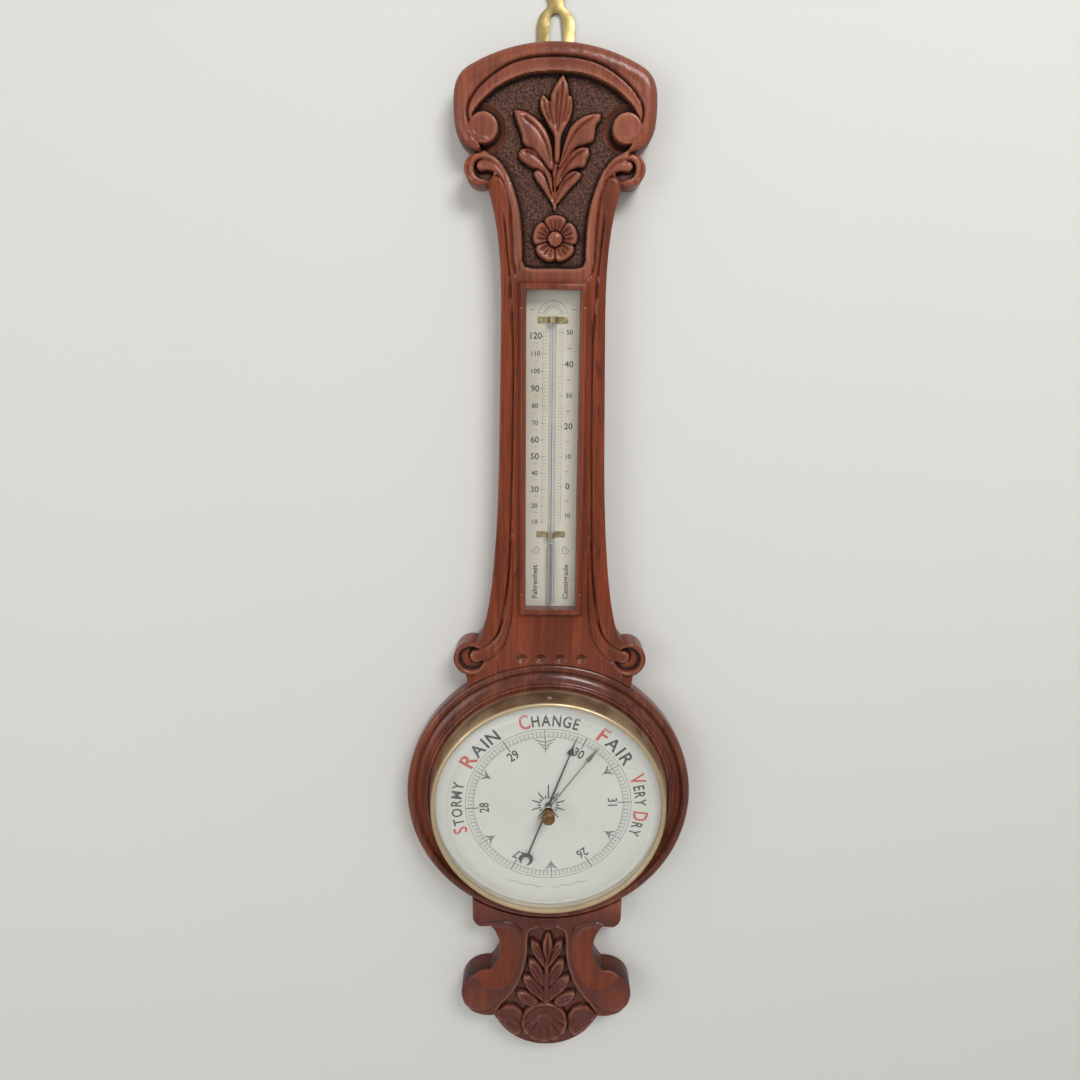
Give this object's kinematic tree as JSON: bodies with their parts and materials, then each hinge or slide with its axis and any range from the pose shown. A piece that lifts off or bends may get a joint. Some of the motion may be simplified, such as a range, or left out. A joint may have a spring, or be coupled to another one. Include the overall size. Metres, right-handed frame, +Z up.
{
  "type": "banjo barometer",
  "caption": "Carved wooden wall barometer with an aneroid movement behind a round glazed dial, a set hand with its knob, and a long thermometer in the neck.",
  "frame": {"origin": "centre of the eye of the hanging plate, on the wall plane at the back of the case", "axes": "+Z up along the case, +X to the right as seen from the front, -Y towards the viewer"},
  "size_m": [0.26, 0.0625, 0.95],
  "materials": {
    "carved_oak": "satin, stained",
    "turned_oak": "satin, stained",
    "moulded_oak": "satin, stained",
    "aged_brass": "aged",
    "bezel_brass": "satin, aged",
    "spun_brass": "satin",
    "knob_brass": "polished",
    "thin_brass": "dull",
    "plate_brass": "brushed",
    "brass_screw": "dull",
    "steel_screw": "dull",
    "spring_steel": "polished",
    "blued_steel": "blued",
    "black_iron": "black lacquer",
    "drum_tin": "tinned",
    "capsule_metal": "polished",
    "mercury": "liquid",
    "clear_glass": "clear",
    "cream_scale": "opal, satin",
    "white_dial": "glossy"
  },
  "bodies": {
    "case": {"case_board": "carved_oak", "dial_surround": "turned_oak", "thermometer_frame": "moulded_oak", "surround_screws": "steel_screw", "hanging_plate": "aged_brass", "hanging_screws": "brass_screw", "frame_pins": "brass_screw", "thermometer_glass": "clear_glass", "thermometer_plate": "cream_scale", "thermometer_tube": "clear_glass", "thermometer_mercury": "mercury", "thermometer_clip_top": "aged_brass", "thermometer_clip_bottom": "aged_brass", "clip_pins": "brass_screw", "dial_pan": "spun_brass", "pan_screws": "steel_screw", "dial_plate": "white_dial", "bezel": "bezel_brass", "bezel_screw": "steel_screw", "dial_glass": "clear_glass", "glass_retaining_ring": "spun_brass", "set_bush": "knob_brass", "movement_case": "drum_tin", "movement_screws": "steel_screw", "bedplate": "plate_brass", "bedplate_screws": "steel_screw", "vacuum_capsule": "capsule_metal", "capsule_stud": "plate_brass", "capsule_post": "plate_brass", "spring_bridge": "black_iron", "main_spring": "spring_steel", "spring_screws": "steel_screw", "rocking_bearings": "plate_brass", "hand_chain": "spring_steel", "arbor_bridge_rear": "plate_brass", "arbor_bridge_front": "plate_brass", "bridge_pillars": "plate_brass", "hairspring": "spring_steel", "hairspring_stud": "plate_brass"},
    "hand": {"indicator_hand": "blued_steel", "hand_arbor": "spring_steel"},
    "set_pointer": {"set_hand": "thin_brass", "set_knob": "knob_brass"},
    "lever": {"main_lever": "plate_brass"},
    "link": {"link_rod": "spring_steel"},
    "rocker": {"rocking_shaft": "spring_steel"},
    "adjuster": {"adjusting_screw": "plate_brass"}
  },
  "joints": [
    {"name": "hand_turn", "type": "hinge", "parent": "case", "child": "hand", "pos_m": [0, -0.035, -0.662], "axis": [0, 1, 0], "range_deg": [-233, 67], "deforming": ["hairspring", "hand_chain"]},
    {"name": "set_pointer_turn", "type": "hinge", "parent": "case", "child": "set_pointer", "pos_m": [0, -0.048, -0.662], "axis": [0, 1, 0], "continuous": true},
    {"name": "lever_swing", "type": "hinge", "parent": "case", "child": "lever", "pos_m": [-0.012, -0.0235, -0.662], "axis": [0, 0, 1], "range_deg": [-1.42, 0.42], "deforming": ["main_spring"]},
    {"name": "link_pivot", "type": "hinge", "parent": "lever", "child": "link", "pos_m": [0.0428, -0.0245, -0.662], "axis": [0, 0, 1], "range_deg": [-0.42, 1.42]},
    {"name": "rocker_turn", "type": "hinge", "parent": "case", "child": "rocker", "pos_m": [0.04639, -0.018, -0.662], "axis": [0, 0, 1], "range_deg": [-6.24, 21.46]},
    {"name": "adjuster_turn", "type": "hinge", "parent": "case", "child": "adjuster", "pos_m": [-0.036, -0.008, -0.662], "axis": [0, 1, 0], "range_deg": [-720, 720]}
  ],
  "couplings": [
    {"joint": "lever_swing", "follows": "hand_turn", "ratio": 0.006},
    {"joint": "link_pivot", "follows": "hand_turn", "ratio": -0.006},
    {"joint": "rocker_turn", "follows": "hand_turn", "ratio": -0.091667}
  ]
}
